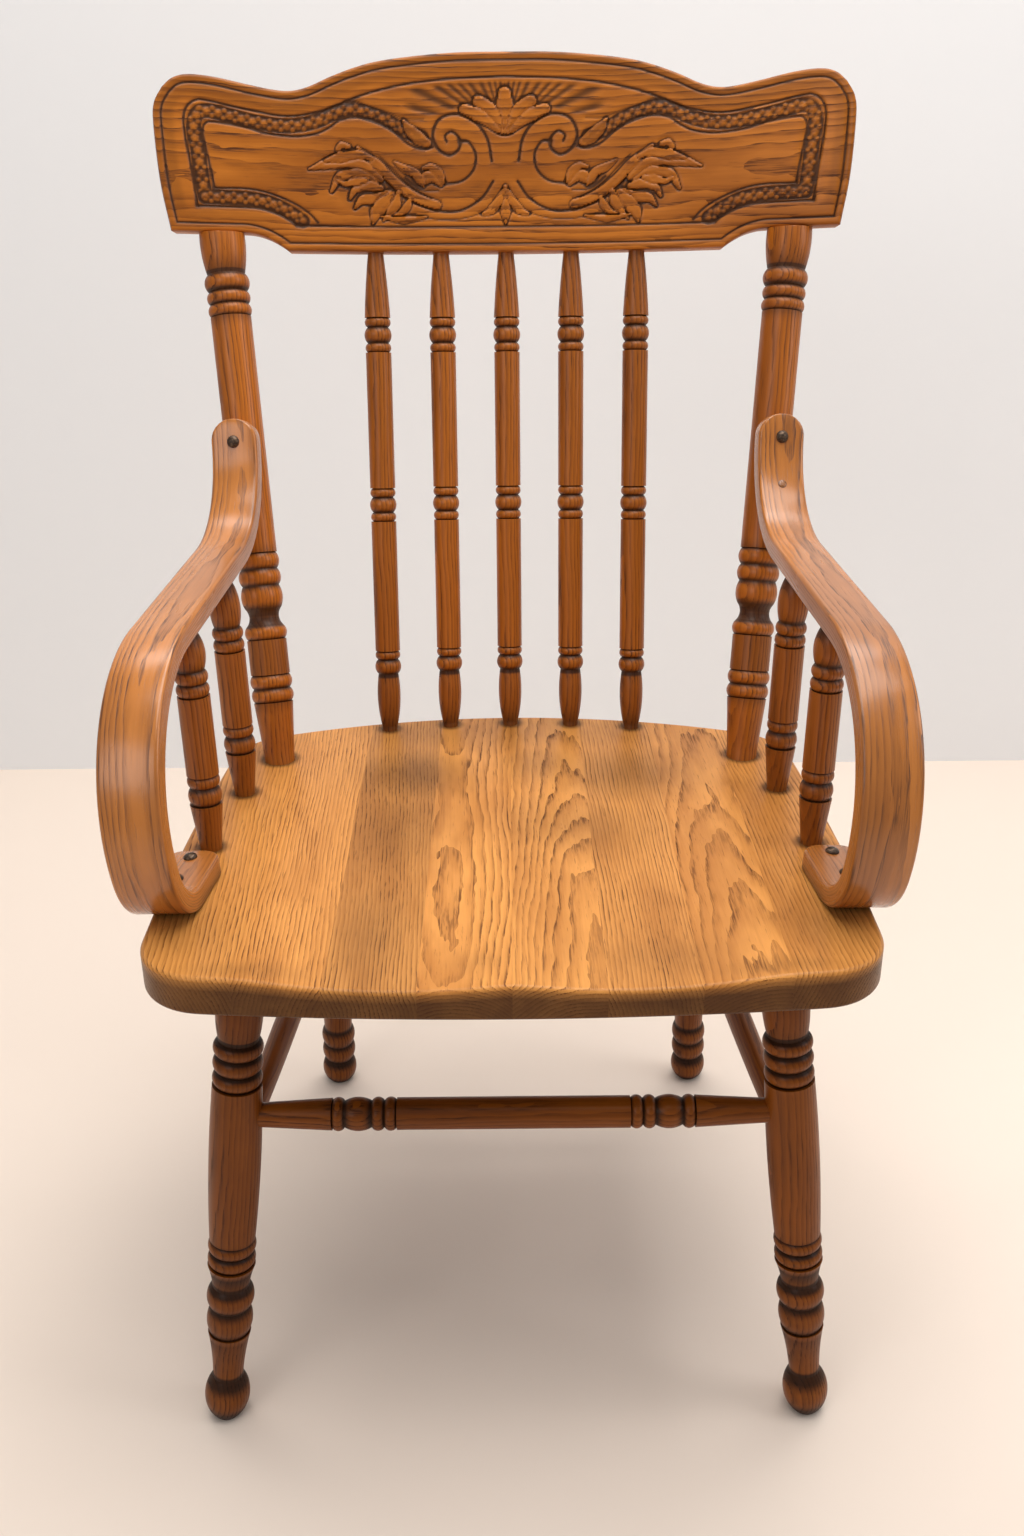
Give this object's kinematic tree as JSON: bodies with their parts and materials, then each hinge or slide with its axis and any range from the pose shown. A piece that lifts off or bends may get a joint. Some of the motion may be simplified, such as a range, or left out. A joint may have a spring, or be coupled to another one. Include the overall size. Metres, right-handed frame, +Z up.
{
  "type": "press back armchair",
  "caption": "Oak dining armchair with a bent, pressed crest rail, turned back spindles and posts, a scooped plank seat, bentwood arms and turned legs joined by stretchers.",
  "frame": {"origin": "on the floor, under the middle of the chair's bounding box", "axes": "+Z up, the sitter faces -Y, +X to the right of someone who looks at the chair's front"},
  "size_m": [0.604, 0.5956, 1.0451],
  "materials": {
    "seat_oak": "satin varnished golden oak",
    "crest_oak": "satin varnished golden oak",
    "back_oak": "satin varnished golden oak",
    "arm_oak": "satin varnished golden oak",
    "arm_spindle_oak": "satin varnished golden oak",
    "leg_oak": "satin varnished golden oak",
    "dark_bronze": "dark bronzed, slightly worn"
  },
  "bodies": {
    "root": {"seat_board_1": "seat_oak", "seat_board_2": "seat_oak", "seat_board_3": "seat_oak", "seat_board_4": "seat_oak", "seat_board_5": "seat_oak", "seat_board_6": "seat_oak", "seat_board_7": "seat_oak", "seat_board_8": "seat_oak", "crest_rail": "crest_oak", "back_post_left": "back_oak", "back_post_right": "back_oak", "back_spindle_1": "back_oak", "back_spindle_2": "back_oak", "back_spindle_3": "back_oak", "back_spindle_4": "back_oak", "back_spindle_5": "back_oak", "arm_left": "arm_oak", "arm_right": "arm_oak", "arm_spindle_front_left": "arm_spindle_oak", "arm_spindle_front_right": "arm_spindle_oak", "arm_spindle_rear_left": "arm_spindle_oak", "arm_spindle_rear_right": "arm_spindle_oak", "front_leg_left": "leg_oak", "front_leg_right": "leg_oak", "rear_leg_left": "leg_oak", "rear_leg_right": "leg_oak", "front_stretcher": "leg_oak", "side_stretcher_left": "leg_oak", "side_stretcher_right": "leg_oak", "rear_stretcher": "leg_oak", "arm_foot_screws": "dark_bronze", "arm_tip_screws": "dark_bronze"}
  },
  "joints": []
}
